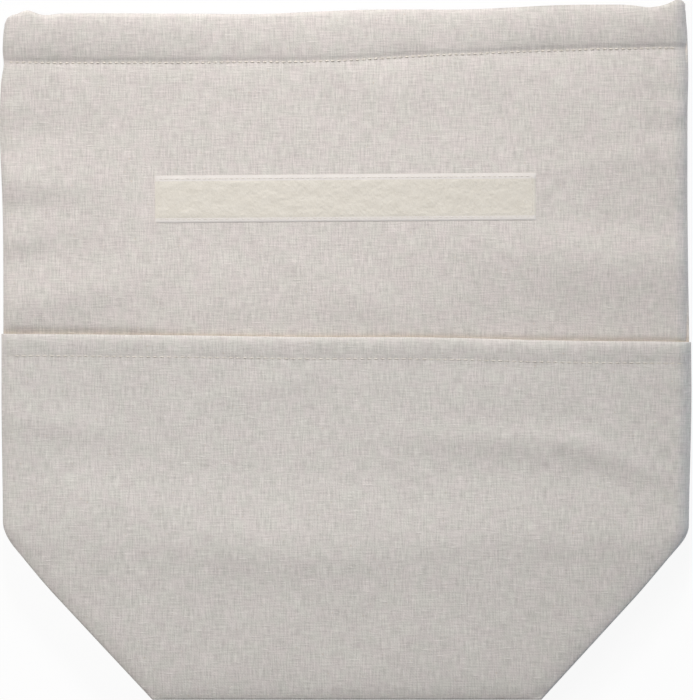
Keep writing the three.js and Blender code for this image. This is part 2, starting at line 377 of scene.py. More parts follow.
def mouth_sink(x, y):
    """The front dips to pass under the pocket's mouth, most of all on the right."""
    to_right, to_left = ramps(x, MOUTH_RIGHT), ramps(x, MOUTH_LEFT)
    gap = np.maximum(y - pocket_mouth(x), 0)
    dip = (DIP + DIP_MORE_RIGHT * to_right) * bell(gap / (DIP_REACH + DIP_REACH_RIGHT * to_right))
    depth = CREASE + CREASE_LEFT * to_left + CREASE_RIGHT * to_right
    return -dip - depth * bell(gap / (CREASE_WIDTH + CREASE_WIDTH_LEFT * to_left))


def slack_waves(x, y):
    """Waves of the front above the pocket, and of both below its mouth, over the folded base."""
    above = ramps(y - pocket_mouth(x), ABOVE_MOUTH)
    upper = cloth_relief(x, y, FRONT_SEED) + soft_folds(x, y, FRONT_FOLDS)
    lower = cloth_relief(x, y, POCKET_SEED) + soft_folds(x, y, POCKET_FOLDS)
    return ramps(y, BASE_RAMPS) - BASE_REST + lower + (upper - lower) * above


def front_relief(x, y):
    return slack_waves(x, y) + mouth_sink(x, y) + hem_relief(x, y)


def back_relief(x, y):
    """The back rests on the table, so its dents only go inward."""
    groove = bumps(y - hem_line(x), BACK_GROOVE)
    dents = -BACK_DENTS * np.abs(cloth_relief(x, y, BACK_SEED))
    under_tape = smooth_step((TAPE_EDGE_X - np.abs(x)) / HOOK_MARGIN)
    under_tape = under_tape * smooth_step((y - HOOK_LOW[1]) / HOOK_MARGIN + 1)
    under_tape = under_tape * smooth_step((HOOK_HIGH[1] - y) / HOOK_MARGIN + 1)
    return (dents + groove) * (1 - under_tape) - BACK_CLEARANCE - HOOK_RECESS * under_tape


def front_height(x, y):
    """Level of the front's outer face away from the rounded edges."""
    centre, half = wall_section(x, y)
    return centre + half + front_relief(x, y)


def back_height(x, y):
    centre, half = wall_section(x, y)
    return 2 * MIDDLE - (centre + half + back_relief(x, y))


# Grids: each has an outer and an inner skin with the same rows and columns
def even_steps(start, end, step=GRID):
    """Levels after the start and up to the end, at about the given step."""
    return np.linspace(start, end, int((end - start) / step) + 2)[1:]


def round_sine(count, low=True, high=True):
    """Share of the thickness at each row or column, less at a rounded end."""
    sine = np.ones(count)
    if low:
        sine[:ROUND_STEPS] = ROUND_SINE
    if high:
        sine[-ROUND_STEPS:] = ROUND_SINE[::-1]
    return sine


def row_levels():
    low = BOTTOM + FOLD_ROUND * ROUND_INSET
    mouth = POCKET_TOP - MOUTH_FINE[0], POCKET_TOP + MOUTH_FINE[1]
    hem = np.arange(HEM_LEVEL - HEM_FINE, HEM_LEVEL + HEM_FINE, FINE_GRID)
    high = TOP - LIP_HALF * ROUND_INSET[::-1]
    levels = np.concatenate([
        low,
        even_steps(low[-1], mouth[0]),
        even_steps(*mouth, FINE_GRID),
        even_steps(mouth[1], LOWER_CUT),
        even_steps(LOWER_CUT, UPPER_CUT),
        even_steps(UPPER_CUT, hem[0]),
        hem[1:],
        even_steps(hem[-1], high[0]),
        high[1:],
    ])
    return levels, round_sine(len(levels))


def column_shares():
    """Columns with rounded edges, as (inset in edge radii, share of the width, sine)."""
    inner = np.linspace(0, 1, int(2 * HALF_WIDTH / GRID))[1:-1]
    inset = np.concatenate([ROUND_INSET, np.ones(len(inner)), ROUND_INSET[::-1]])
    share = np.concatenate([np.zeros(ROUND_STEPS), inner, np.ones(ROUND_STEPS)])
    return inset, share, round_sine(len(share))


def spread_columns(y, grow, radius, inset, share):
    left = -half_width(y, -1) - grow
    right = half_width(y, 1) + grow
    across = left + radius + share * (right - left - 2 * radius)
    edge = np.where(share == 0, left + radius * inset, right - radius * inset)
    return np.where((share == 0) | (share == 1), edge, across)


def wall_grid(relief):
    """Outer and inner skins of a wall whose outer face is up."""
    levels, row_sine = row_levels()
    inset, share, column_sine = column_shares()
    level = levels[:, None]
    x = spread_columns(level, 0, edge_radius(level), inset, share)
    y = rows_to_heights(level, x)
    centre, half = wall_section(x, y)
    sine = row_sine[:, None] * column_sine
    height = relief(x, y)
    outer = xyz(x, y, centre + (half + height) * sine)
    inner = xyz(x, y, centre - (half - INNER_DENT * np.minimum(height, 0)) * sine)
    return levels, outer, inner


def flip(grid):
    """The same grid turned over about the middle of the bag, for the back."""
    return grid * (1, 1, -1) + (0, 0, 2 * MIDDLE)


# Mesh making
LAYER_SHIFT = 40.0


def closed(outer, inner):
    """Rows that run along the outer skin and back along the inner one."""
    return np.concatenate([outer, inner[:, ::-1]], 1)


def grid_normals(outer, inner):
    """Smooth normals of a closed sheet, its two ends included."""
    columns = outer.shape[1]
    points = closed(outer, inner)
    total = np.zeros_like(points)
    following = np.roll(np.arange(2 * columns), -1)
    a, b = points[:-1], points[1:]
    c, d = points[1:, following], points[:-1, following]
    face = np.cross(d - a, b - a) + np.cross(b - c, d - c)
    for ring in (slice(None), following):
        total[:-1][:, ring] += face
        total[1:][:, ring] += face
    for row, sign in ((0, -1), (-1, 1)):
        top, under = outer[row], inner[row]
        cap = np.cross(top[1:] - top[:-1], under[:-1] - top[:-1]) * sign
        for edge in (total[row, :columns], total[row, :columns - 1:-1]):
            edge[:-1] += cap
            edge[1:] += cap
    return total / np.maximum(np.linalg.norm(total, axis=-1, keepdims=True), 1e-12)


def cloth_run(skin, axis, coordinate):
    """Distance along the cloth in one direction, equal to the coordinate halfway."""
    step = np.hypot(*(np.diff(skin[..., k], axis=axis) for k in (coordinate, 2)))
    run = np.insert(np.cumsum(step, axis), 0, 0, axis)
    half = [skin.shape[axis] // 2]
    return run - run.take(half, axis) + skin[..., coordinate].take(half, axis)


def cloth_coordinates(skin, layer):
    """Position measured along the cloth, so that a weave doesn't stretch over an edge."""
    u, v = cloth_run(skin, 1, 0), cloth_run(skin, 0, 1)
    return xyz(u, v, LAYER_SHIFT * layer)


def sheet_faces(rows, columns):
    """Quads of a closed sheet: both skins, both edges and both ends."""
    index = np.arange(rows * 2 * columns).reshape(rows, -1)
    beside = np.roll(index, -1, 1)
    faces = [np.stack([index[:-1], beside[:-1], beside[1:], index[1:]], -1).reshape(-1, 4)]
    for row, order in ((0, (0, 1, 2, 3)), (-1, (0, 3, 2, 1))):
        top, under = index[row, :columns], index[row, :columns - 1:-1]
        faces.append(np.stack([top[:-1], under[:-1], under[1:], top[1:]], -1)[:, order])
    return np.concatenate(faces)


def new_piece(name, points, faces, material, cloth, normals=None):
    mesh = bpy.data.meshes.new(name)
    mesh.from_pydata((np.reshape(points, (-1, 3)) * MM).tolist(), [], faces)
    mesh.polygons.foreach_set("use_smooth", np.ones(len(mesh.polygons), bool))
    mesh.materials.append(material)
    place = mesh.attributes.new("cloth", "FLOAT_VECTOR", "POINT")
    place.data.foreach_set("vector", np.asarray(cloth, np.float32).ravel())
    mesh.update()
    if normals is not None:
        mesh.normals_split_custom_set_from_vertices(normals.reshape(-1, 3).tolist())
    return placed(name, mesh)


def sheet_pieces(outer, inner, parts, material, layer, flipped=False, by_columns=False):
    """Cuts one closed sheet into named pieces. parts is [(name, first row, last row)]."""
    skins = outer, inner, cloth_coordinates(outer, 2 * layer), cloth_coordinates(inner, 2 * layer + 1)
    if by_columns:
        skins = [np.swapaxes(skin, 0, 1) for skin in skins]
    turn = 1 if flipped == by_columns else -1
    points, cloth = closed(*skins[:2]), closed(*skins[2:])
    normals = turn * grid_normals(*skins[:2])
    made = []
    for name, first, last in parts:
        rows = slice(first, last + 1)
        faces = sheet_faces(last + 1 - first, skins[0].shape[1])[:, ::turn].tolist()
        made.append(new_piece(name, points[rows], faces, material, cloth[rows], normals[rows]))
    return made


def whole_sheet(node, slot, outer, inner, material, layer, flipped=False):
    """A closed sheet as one piece that stands for a node."""
    parts = [(node + "_cloth", 0, len(outer) - 1)]
    piece = sheet_pieces(outer, inner, parts, material, layer, flipped)[0]
    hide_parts(node)
    return piece


def points_of(piece):
    co = np.zeros(len(piece.data.vertices) * 3)
    piece.data.vertices.foreach_get("co", co)
    return co.reshape(-1, 3) / MM


# Shares of the joints' swing for the cloth, worked out but not applied; each piece only has its transform
# baked
FILL_ABOVE, FILL_BELOW = 10, 20


def side_share(points):
    """Share of the other wall's swing that a wall's sides take: half along the sewn edges."""
    x, y = points[:, 0], np.maximum(points[:, 1], CORNER)
    edge = np.where(x < 0, half_width(y, -1), half_width(y, 1))
    return 0.5 * np.clip((np.abs(x) - BASE_HALF) / (edge - BASE_HALF), 0, 1)


def bend(piece):
    """Bakes a piece's transform into its mesh."""
    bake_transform(piece)


def bend_at_base(piece, weights):
    bend(piece)


def bend_at_roll(piece):
    """Bakes a ply's transform into its mesh; its points are read but not used."""
    _, y, z = points_of(piece).T
    bend(piece)


def follow_fill(piece, front):
    points = points_of(piece)
    share = side_share(points)
    swing = smooth_step((FILL_FOLD[1] + FILL_ABOVE - points[:, 1]) / (FILL_ABOVE + FILL_BELOW))
    bend_at_base(piece, swing * (1 - share if front else share))


def follow_upper(piece):
    bend_at_roll(piece)


def follow_folds(pieces, front):
    """The lower, roll and rim stretches of one cloth."""
    lower, roll, rim = pieces
    follow_fill(lower, front)
    bend_at_roll(roll)
    follow_upper(rim)


# Materials
class Shader:
    """Builds one node tree: a number or colour is set on its socket, a signal is linked."""

    def __init__(self, tree):
        self.tree = tree

    def feed(self, node, sockets):
        for key, value in sockets.items():
            socket = node.inputs[key]
            if isinstance(value, bpy.types.NodeSocket):
                self.tree.links.new(value, socket)
            else:
                socket.default_value = (*value, 1) if socket.type == "RGBA" else value

    def node(self, kind, sockets, **settings):
        node = self.tree.nodes.new("ShaderNode" + kind)
        for name, value in settings.items():
            setattr(node, name, value)
        self.feed(node, sockets)
        return node.outputs

    def math(self, operation, *values):
        return self.node("Math", dict(enumerate(values)), operation=operation)[0]

    def total(self, terms, start=0.0):
        """Adds weighted signals. terms is [(signal, weight)]."""
        for signal, weight in terms:
            start = self.math("MULTIPLY_ADD", signal, weight, start)
        return start

    def mix(self, share, first, second, blend="MIX"):
        return self.node("Mix", {0: share, 6: first, 7: second}, data_type="RGBA", blend_type=blend)[2]

    def span(self, value, low, high):
        return self.node("MapRange", {0: value, 1: low, 2: high}, interpolation_type="SMOOTHSTEP")[0]

    def bump(self, height, strength, distance):
        return self.node("Bump", {"Height": height, "Strength": strength, "Distance": distance})[0]


def new_material(name):
    material = bpy.data.materials.new(name)
    material.use_nodes = True
    return material, Shader(material.node_tree), material.node_tree.nodes["Principled BSDF"]


LAYER_SCALE = 0.1


def cloth_noise(shader, u, v, detail=2.0, roughness=0.5, layers=LAYER_SCALE):
    """Noise along the cloth: its scale per millimetre, its detail and its roughness."""
    place = shader.node("Attribute", {}, attribute_name="cloth")["Vector"]
    place = shader.node("VectorMath", {0: place, 1: (u, v, layers)}, operation="MULTIPLY")[0]
    sockets = {"Vector": place, "Scale": 1.0, "Detail": detail, "Roughness": roughness}
    return shader.node("TexNoise", sockets)["Fac"]


# Linen: noise rows as cloth_noise takes them, then how the signals make tone and height
LINEN_NOISE = {
    "wander": (0.11, 0.11, 1.0),
    "yarn_up": (1.7, 0.16, 1.0),
    "yarn_across": (0.16, 1.7, 1.0),
    "fibre": (1.5, 1.5, 2.0, 0.7),
    "patch": (0.05, 0.05, 3.0, 0.6),
    "blush": (0.14, 0.14, 2.0, 0.6),
    "slub_up": (1.1, 0.17, 1.0),
    "slub_across": (0.17, 1.1, 1.0),
    "fleck": (0.75, 0.75, 1.0),
}
YARN_PITCH = 0.62
YARN_WANDER = 2.2
TONE_WEIGHTS = {"yarn_up": 1.15, "yarn_across": 0.95, "fibre": 0.75, "patch": 0.35}
WEAVE_TONE = 0.02
TONE_CONTRAST = 0.21
BLUSH_SPAN = (0.32, 0.68)
BLUSH_TINTS = ((0.989, 1.004, 0.985), (1.014, 0.991, 0.999))
SLUB_SPAN = (0.64, 0.78)
SLUB_PALE, PALEST = 1.22, 0.9
FLECK_SPAN = (0.70, 0.80)
FLECK_TINT = (0.86, 0.76, 0.64)
MARK_SHARE = 0.5
# Painted shade in creases: its warm dark tint, how near another surface must be to darken the cloth, the
# span of occlusion and the samples
PAINTED_CREASE_SHADE = (0.955, 0.88, 0.77)
PAINTED_SHADE_REACH = 0.004
PAINTED_SHADE_SPAN = (0.95, 0.45)
PAINTED_SHADE_SAMPLES = 8
HEIGHT_WEIGHTS = {"weave": 0.12, "slubs": 0.9, "fibre": 0.6, "yarn_up": 0.65, "yarn_across": 0.65}
WEAVE_BUMP = (0.5, 0.00012)
LINEN_SURFACE = {"Roughness": 0.92, "Specular IOR Level": 0.2,
                 "Sheen Weight": 0.12, "Sheen Roughness": 0.5}


def scaled(colour, *factors):
    return tuple(c * f for c, f in zip(colour, factors * (3 // len(factors))))


def linen(name, colour):
    """Plain weave of uneven yarns with slubs, flecks and soft mottling, with painted warm shade inside a
    crease.
    """
    material, shader, bsdf = new_material(name)
    signal = {key: cloth_noise(shader, *row) for key, row in LINEN_NOISE.items()}
    place = shader.node("Attribute", {}, attribute_name="cloth")["Vector"]
    along, up, _ = shader.node("SeparateXYZ", {0: place})
    wander = (signal["wander"], YARN_WANDER)
    waves = [shader.total([(axis, math.pi / YARN_PITCH), wander]) for axis in (along, up)]
    signal["weave"] = shader.math("MULTIPLY", *(shader.math("COSINE", wave) for wave in waves))
    slubs = [shader.span(signal[key], *SLUB_SPAN) for key in ("slub_up", "slub_across")]
    signal["slubs"] = shader.math("MAXIMUM", *slubs)
    terms = [(signal[key], weight) for key, weight in TONE_WEIGHTS.items()]
    tone = shader.total(terms + [(signal["weave"], WEAVE_TONE)], 0.5 - 0.5 * sum(TONE_WEIGHTS.values()))
    shade = shader.mix(tone, scaled(colour, 1 - TONE_CONTRAST), scaled(colour, 1 + TONE_CONTRAST))
    tint = shader.mix(shader.span(signal["blush"], *BLUSH_SPAN), *BLUSH_TINTS)
    shade = shader.mix(1.0, shade, tint, "MULTIPLY")
    fleck = shader.span(signal["fleck"], *FLECK_SPAN)
    pale = tuple(min(c, PALEST) for c in scaled(colour, SLUB_PALE))
    for mark, mark_colour in ((signal["slubs"], pale), (fleck, scaled(colour, *FLECK_TINT))):
        shade = shader.mix(shader.math("MULTIPLY", mark, MARK_SHARE), shade, mark_colour)
    # Painted shade: the cloth's colour turns warmer and darker where other surfaces are near, standing in
    # for shade and bounced light in a crease
    light = shader.node("AmbientOcclusion", {"Distance": PAINTED_SHADE_REACH}, samples=PAINTED_SHADE_SAMPLES)["AO"]
    shade = shader.mix(shader.span(light, *PAINTED_SHADE_SPAN), shade, PAINTED_CREASE_SHADE, "MULTIPLY")
    height = shader.total([(signal[key], weight) for key, weight in HEIGHT_WEIGHTS.items()])
    normal = shader.bump(height, *WEAVE_BUMP)
    shader.feed(bsdf, {"Base Color": shade, "Normal": normal, **LINEN_SURFACE})
    return material


FILM_CREASES = (0.16, 0.16, 5.0, 0.65)
FILM_SPAN = (0.3, 0.7)
FILM_TINTS = ((0.52, 0.54, 0.56), (0.70, 0.72, 0.74))
FILM_BUMP = (0.6, 0.0006)
FILM_SURFACE = {"Metallic": 0.7, "Roughness": 0.38}


def film(name):
    """Silvery coated lining with fine creases."""
    material, shader, bsdf = new_material(name)
    crease = cloth_noise(shader, *FILM_CREASES)
    shade = shader.mix(shader.span(crease, *FILM_SPAN), *FILM_TINTS)
    shader.feed(bsdf, {"Base Color": shade, "Normal": shader.bump(crease, *FILM_BUMP), **FILM_SURFACE})
    return material


TANGLE_STRETCH = 0.8
TANGLE_DETAIL = (3.0, 0.7)
CLUMP = (0.16, 0.3)
PILE_WEIGHT = 0.6
PILE_SPAN = (0.3, 0.9)
PILE_BUMP = 0.6
PILE_SURFACE = {"Roughness": 0.95, "Sheen Weight": 0.3, "Specular IOR Level": 0.15}


def pile(name, pale, dark, size, depth):
    """Fuzzy tape surface: tangled loops that clump in soft patches."""
    material, shader, bsdf = new_material(name)
    tangle = cloth_noise(shader, 1 / size, TANGLE_STRETCH / size, *TANGLE_DETAIL)
    clump = cloth_noise(shader, *CLUMP)
    tone = shader.total([(tangle, PILE_WEIGHT), (clump, PILE_WEIGHT)])
    shade = shader.mix(shader.span(tone, *PILE_SPAN), dark, pale)
    normal = shader.bump(tangle, PILE_BUMP, depth)
    shader.feed(bsdf, {"Base Color": shade, "Normal": normal, **PILE_SURFACE})
    return material


TWIST_SCALE = 2.5
TWIST_SPAN = (0.35, 0.65)
TWIST_SHADE = 0.82
TWIST_BUMP = (0.5, 0.0001)
COTTON_ROUGHNESS = 0.8


def cotton(name, colour):
    """Sewing thread with a mottled twist."""
    material, shader, bsdf = new_material(name)
    twist = cloth_noise(shader, TWIST_SCALE, TWIST_SCALE, layers=TWIST_SCALE)
    shade = shader.mix(shader.span(twist, *TWIST_SPAN), scaled(colour, TWIST_SHADE), colour)
    normal = shader.bump(twist, *TWIST_BUMP)
    shader.feed(bsdf, {"Base Color": shade, "Normal": normal, "Roughness": COTTON_ROUGHNESS})
    return material


LINEN = linen("linen", (0.645, 0.608, 0.580))
POCKET_LINEN = linen("pocket_linen", (0.610, 0.583, 0.557))
FILM = film("lining_film")
LOOP = pile("loop_pile", (0.765, 0.725, 0.655), (0.67, 0.63, 0.56), 0.8, 0.0003)
SELVEDGE = pile("tape_selvedge", (0.785, 0.748, 0.712), (0.71, 0.672, 0.645), 0.5, 0.0001)
HOOK = pile("hook_pile", (0.72, 0.68, 0.60), (0.60, 0.56, 0.48), 0.6, 0.0003)
THREAD = cotton("thread", (0.76, 0.715, 0.64))


# Walls
FRONT_NODES = (("front", "collar"), ("roll_front",), ("rim_front",))
BACK_NODES = (("back",), ("roll_back",), ("rim_back",))


def row_at(levels, height):
    return int(np.argmin(np.abs(levels - height)))


def stretches(name, stops, parts=("lower", "roll", "rim")):
    """Named rows from stop to stop, for a cloth that is cut at its folds."""
    return [(name.format(part), *rows) for part, rows in zip(parts, zip(stops, stops[1:]))]


def replace_layers(pieces, nodes, *layers):
    for piece, names in zip(pieces, nodes):
        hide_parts(*(f"{name}_{layer}" for name in names for layer in layers))


levels, front_outer, front_inner = wall_grid(front_relief)
_, back_outer, back_inner = wall_grid(back_relief)
lower_row, upper_row = row_at(levels, LOWER_CUT), row_at(levels, UPPER_CUT)
wall_stops = (0, lower_row, upper_row, len(levels) - 1)
front_walls = sheet_pieces(front_outer, front_inner, stretches("front_wall_{}", wall_stops), LINEN, 0)
back_walls = sheet_pieces(flip(back_outer), flip(back_inner), stretches("back_wall_{}", wall_stops),
                          LINEN, 1, flipped=True)
for walls, nodes in ((front_walls, FRONT_NODES), (back_walls, BACK_NODES)):
    follow_folds(walls, nodes is FRONT_NODES)
    replace_layers(walls, nodes, "shell", "padding")

# Lining behind both walls, up to the hem
LINING_INSET = 5
LINING_STOP = 1.5
lining_rows = slice(ROUND_STEPS, row_at(levels, HEM_LEVEL - LINING_STOP) + 1)
lining_columns = slice(ROUND_STEPS + LINING_INSET, -ROUND_STEPS - LINING_INSET)
lining_stops = [row - ROUND_STEPS for row in (ROUND_STEPS, lower_row, upper_row, lining_rows.stop - 1)]


def line_wall(wall, inner_skin, layer, nodes, turned):
    skin = inner_skin[lining_rows, lining_columns]
    over, under = skin - (0, 0, LINING_GAP), skin - (0, 0, LINING_GAP + LINING_THICKNESS)
    if turned:
        over, under = flip(over), flip(under)
    parts = stretches(wall + "_lining_{}", lining_stops)
    pieces = sheet_pieces(over, under, parts, FILM, layer, flipped=turned)
    follow_folds(pieces, not turned)
    replace_layers(pieces, nodes, "lining")


line_wall("front", front_inner, 2, FRONT_NODES, False)
line_wall("back", back_inner, 3, BACK_NODES, True)

# Pocket: its cloth and its hem, then the slack, groove and puckers of its mouth
POCKET_CLOTH = 0.8
POCKET_HEM = 1.5
POCKET_LIP = 1.0
POCKET_HEM_DEPTH = 9.2
POCKET_HEM_RAMP = 11.0
POCKET_HEM_FOOT = 3
POCKET_GAP = 0.3
POCKET_PROUD = 0.9
PROUD_LOSS = 0.6
POCKET_DROP = 0.5
SEAM_FINE = 2
STITCH_FINE = 4
STITCH_STEP = 0.5
LIP_STEP = 0.4
POCKET_SLACK, SLACK_DEPTH, SLACK_WIDTH = 0.35, 16, 120
POCKET_PUCKERS = ((0.12, 3.0, 31),)
PUCKER_LEAN = 0.8
PUCKER_SPREAD = 2.6
POCKET_GROOVE = ((0, 0.9, -0.06), (0, 4.5, -0.08))
POCKET_ROLL, POCKET_ROLL_REACH = 1.0, 1.9
TILT_DEPTH = 70
POCKET_CUT = 0.55
CUT_OVERLAP = 0.02


def pocket_levels():
    low = BOTTOM - POCKET_DROP * POCKET_PROUD + FOLD_ROUND * ROUND_INSET
    seam = np.arange(low[-1], BOTTOM + 2 * BASE_SEAM + SEAM_FINE, FINE_GRID)
    high = POCKET_TOP - POCKET_LIP * ROUND_INSET[::-1]
    fine = np.arange(POCKET_TOP - POCKET_HEM_DEPTH - STITCH_FINE, high[0] - LIP_STEP, STITCH_STEP)
    heights = np.concatenate([low, seam[1:], even_steps(seam[-1], fine[0]), fine[1:], high])
    return heights[:, None]


def pocket_skins(x, y, sine):
    centre, half = wall_section(x, y)
    below_mouth = pocket_mouth(x) - y
    over_stitch = POCKET_HEM_DEPTH - below_mouth
    slack = POCKET_GAP + POCKET_SLACK * bell(below_mouth / SLACK_DEPTH) * bell(x / SLACK_WIDTH)
    hem = smooth_step((over_stitch + POCKET_HEM_FOOT) / POCKET_HEM_RAMP)
    cloth = POCKET_CLOTH + (POCKET_HEM - POCKET_CLOTH) * hem
    puckers = noises(x + PUCKER_LEAN * y, y, POCKET_PUCKERS) * bell(over_stitch / PUCKER_SPREAD)
    roll = POCKET_ROLL * fade(below_mouth, POCKET_ROLL_REACH)
    relief = bumps(over_stitch, POCKET_GROOVE) + puckers - roll
    room = half + slack + slack_waves(x, y)
    return centre + (room + cloth + relief) * sine, centre + room * sine


def pocket_grid():
    level = pocket_levels()
    bottom_sine = round_sine(len(level), high=False)[:, None]
    mouth_sine = round_sine(len(level), low=False)[:, None]
    inset, share, column_sine = column_shares()
    radius = edge_radius(level) + POCKET_PROUD / 2
    proud = POCKET_PROUD * (1 - PROUD_LOSS * fold_share(level))
    x = spread_columns(level, proud, radius, inset, share)
    y = level + (pocket_mouth(x) - POCKET_TOP) * smooth_step((level - POCKET_TOP) / TILT_DEPTH + 1)
    over, under = pocket_skins(x, y, bottom_sine * column_sine)
    between, half = (over + under) / 2, (over - under) / 2 * mouth_sine
    return xyz(x, y, between + half), xyz(x, y, between - half)


def follow_pocket(piece):
    """Bakes a pocket piece's transform into its mesh; its points are read but not used."""
    x, y, _ = points_of(piece).T
    bend(piece)


def follow_mouth(piece):
    if "middle" in piece.name:
        follow_pocket(piece)
    else:
        follow_fill(piece, True)


pocket_outer, pocket_inner = pocket_grid()
last_column = pocket_outer.shape[1] - 1
plain_columns = pocket_outer.shape[1] - 2 * ROUND_STEPS
cut_column = ROUND_STEPS + int(plain_columns * (1 - POCKET_CUT + CUT_OVERLAP) / 2)
pocket_stops = (0, cut_column, last_column - cut_column, last_column)
pocket_parts = stretches("pocket_{}", pocket_stops, ("left", "middle", "right"))
pocket_pieces = sheet_pieces(pocket_outer, pocket_inner, pocket_parts, POCKET_LINEN, 4, by_columns=True)
for (_, first, last), piece in zip(pocket_parts, pocket_pieces):
    follow_mouth(piece)
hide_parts("pocket_panel")

# Base folded up inside, and the tucked corners
LEAF_THICKNESS = 1.2
LEAF_GAP = 0.35
LEAF_INSET = 0.9
LEAF_SIDE_GAP = 0.6
LEAF_HALF = BASE_HALF - LEAF_SIDE_GAP
LEAF_FLARE = 14.0
LEAF_OVERLAP = 0.25
TUCK_TOP = CORNER + 6.0
TUCK_START = 0.03
LEAST_DEPTH = 2
RIDGE_SHARE = 0.05
RIDGE_INSET = 0.6
FOLD_STEPS = 26
FOLD_SPACING = 1.8
GUSSET_ROWS, TUCK_ROWS = 60, 40


def leaf_lift(depth):
    """How far a leaf is drawn out to its wall, by the distance from its seam."""
    edge = bell((depth + LEAF_INSET) / FOLD_REACH)
    wall = FRONT - MIDDLE - 2 * PAD_HALF - 2 * FOLD_DROP * edge + LEAF_OVERLAP
    return np.maximum(wall - LEAF_GAP - LEAF_THICKNESS, 0) * (1 - smooth_step(depth / LEAF_FLARE))


def leaf_skins(starts, ridges):
    """Both skins of a leaf that goes up to its ridge and back, on rows of flat points."""
    turn = np.linspace(0, 1, FOLD_STEPS) ** FOLD_SPACING
    out = np.concatenate([turn, turn[::-1]])
    closing = np.sqrt(1 - np.clip((out - 1) / RIDGE_SHARE + 1, 0, 1) ** 2)
    level = np.repeat([1.0, -1.0], FOLD_STEPS) * closing
    shift = out[None, :, None] * (ridges - starts)[:, None]
    place = starts[:, None] + shift
    near = starts[:, None] + shift * (1 - RIDGE_INSET * RIDGE_SHARE)
    room = leaf_lift(np.linalg.norm(shift, axis=-1)) + LEAF_GAP
    over = MIDDLE + (room + LEAF_THICKNESS) * level
    under = MIDDLE + room * level
    return np.concatenate([place, over[..., None]], -1), np.concatenate([near, under[..., None]], -1)


def follow_leaf(piece, depth_share):
    """Works out how far a leaf would follow the wall it is sewn to, half at its ridge; the share is not
    applied and only its transform is baked.
    """
    points = points_of(piece)
    share = side_share(points)
    sewn = np.where(points[:, 2] > MIDDLE, 1 - share, share)
    bend_at_base(piece, 0.5 + (sewn - 0.5) * (1 - depth_share(points)))


def base_gusset():
    across_base = np.linspace(-LEAF_HALF, LEAF_HALF, GUSSET_ROWS)
    starts = np.stack([across_base, np.full(GUSSET_ROWS, BOTTOM + LEAF_INSET)], -1)
    ridges = np.stack([across_base, np.full(GUSSET_ROWS, RIDGE)], -1)
    piece = whole_sheet("base_gusset", "linen", *leaf_skins(starts, ridges), LINEN, 5)
    follow_leaf(piece, lambda p: np.clip((p[:, 1] - BOTTOM) / (RIDGE - BOTTOM), 0, 1))


def tuck_depth(points):
    """Share of the way from a slant to the ridge of its tuck."""
    slant = (np.abs(points[:, 0]) - BASE_HALF) / (HALF_WIDTH - BASE_HALF)
    floor_line = BOTTOM + slant * CORNER_RISE
    ridge_line = RIDGE + slant * (TUCK_TOP - RIDGE)
    return np.clip((points[:, 1] - floor_line) / np.maximum(ridge_line - floor_line, LEAST_DEPTH), 0, 1)


def corner_tuck(label, sign):
    along = np.linspace(TUCK_START, 1, TUCK_ROWS)
    heights = TUCK_TOP + along * (BOTTOM + LEAF_INSET - TUCK_TOP)
    starts = np.stack([half_width(heights, sign) - LEAF_INSET, heights], -1)
    starts[-1, 0] = LEAF_HALF
    top_point = np.array([half_width(TUCK_TOP, sign) - LEAF_INSET, TUCK_TOP])
    ridges = top_point + along[:, None] * (np.array([LEAF_HALF, RIDGE]) - top_point)
    outside, inside = leaf_skins(starts * (sign, 1), ridges * (sign, 1))
    piece = whole_sheet(f"corner_tuck_{label}", "linen", outside, inside, LINEN, 6, sign > 0)
    follow_leaf(piece, tuck_depth)


# Side seams
SEAM_SIDES = 8
SEAM_RADII = (0.95, 1.55)
SEAM_START = CORNER - 8
SEAM_END = TOP - 2.5
SEAM_INSET = 0.7
SEAM_EDGE = 0.05


def side_seams(label, sign):
    heights = levels[(levels > SEAM_START) & (levels < SEAM_END)]
    x = sign * (half_width(heights, sign) - SEAM_INSET)
    y = rows_to_heights(heights, x)
    turn = np.linspace(math.pi, 0, SEAM_SIDES)
    out, up = SEAM_RADII[0] * np.cos(turn), SEAM_RADII[1] * np.sin(turn)
    over = xyz(x[:, None] + out, y[:, None], MIDDLE + up)
    over[:, [0, -1], 2] += SEAM_EDGE
    stops = (0, row_at(heights, LOWER_CUT), row_at(heights, UPPER_CUT), len(heights) - 1)
    names = ("side", "roll", "rim")
    parts = stretches("{}_seam_" + label + "_cloth", stops, names)
    pieces = sheet_pieces(over, flip(over), parts, LINEN, 7)
    follow_folds(pieces, True)
    for name, piece in zip(names, pieces):
        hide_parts(f"{name}_seam_{label}")


base_gusset()
for label, sign in (("left", -1), ("right", 1)):
    corner_tuck(label, sign)
for label, sign in (("left", -1), ("right", 1)):
    side_seams(label, sign)

# Stitches: (pitch, gap, radius, rise, sink) of each row, and how far each row runs
THREAD_SIDES = 6
THREAD_RINGS = 6
THREAD_END = 0.45
PATH_POINTS = 200
HEM_STITCH = (2.6, 0.7, 0.24, 0.18, 0.08)
BACK_HEM_STITCH = (2.6, 0.7, 0.28, -0.15, 0.0)
POCKET_STITCH = (2.9, 0.6, 0.18, 0.08, 0.06)
BASE_STITCH = (2.8, 1.0, 0.1, 0.0, 0.05)
LOOP_STITCH = (2.3, 0.7, 0.11, 0.03, 0.03)
HOOK_STITCH = (2.3, 0.7, 0.15, -0.08, 0.0)
HEM_RUN = (-142, 141)
POCKET_HEM_RUN = (-142.5, 142.5)
BASE_RUN = (-79, 79)


def tube_faces(tubes, rings, sides):
    """Faces of closed tubes, each a run of rings."""
    index = np.arange(tubes * rings * sides).reshape(tubes, rings, sides)
    beside = np.roll(index, -1, 2)
    walls = np.stack([index[:, :-1], beside[:, :-1], beside[:, 1:], index[:, 1:]], -1)
    return [*walls.reshape(-1, 4).tolist(), *index[:, 0, ::-1].tolist(), *index[:, -1].tolist()]


